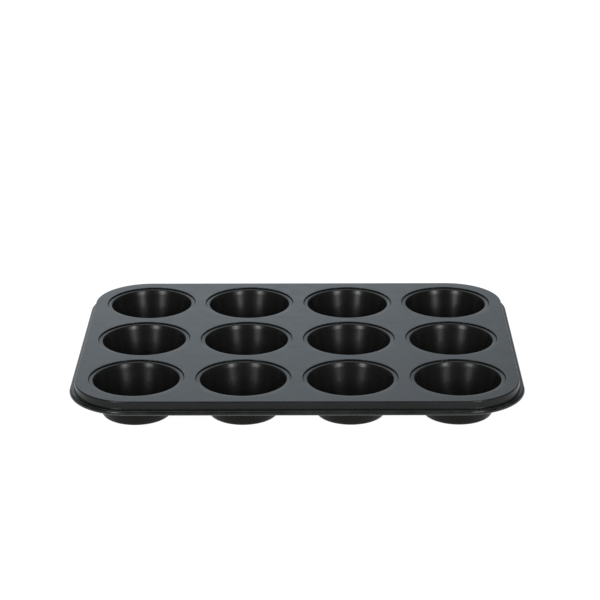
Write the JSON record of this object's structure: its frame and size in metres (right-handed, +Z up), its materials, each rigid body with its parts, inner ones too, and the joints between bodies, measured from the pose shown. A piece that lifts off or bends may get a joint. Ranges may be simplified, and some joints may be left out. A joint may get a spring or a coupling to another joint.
{
  "type": "muffin tin",
  "caption": "Rectangular baking tin with round tapered cups set in stepped seats of a pressed sheet frame, a short skirt and a wired rolled rim, all in dark non-stick coating",
  "frame": {"origin": "middle of the tin on the plane that it stands on, under the cup bases", "axes": "+X along the long side, to the right seen from the front; +Y from front to back; +Z up, out of the cup mouths"},
  "size_m": [0.35, 0.2688, 0.029],
  "materials": {
    "frame_coating": "satin dark grey non-stick coating on carbon steel sheet",
    "cup_coating": "satin near-black non-stick coating on drawn carbon steel",
    "wire_steel": "drawn bare steel wire"
  },
  "bodies": {
    "root": {"frame": "frame_coating", "rim_wire": "wire_steel", "cup_front_1": "cup_coating", "cup_front_2": "cup_coating", "cup_front_3": "cup_coating", "cup_front_4": "cup_coating", "cup_middle_1": "cup_coating", "cup_middle_2": "cup_coating", "cup_middle_3": "cup_coating", "cup_middle_4": "cup_coating", "cup_back_1": "cup_coating", "cup_back_2": "cup_coating", "cup_back_3": "cup_coating", "cup_back_4": "cup_coating"}
  },
  "joints": []
}
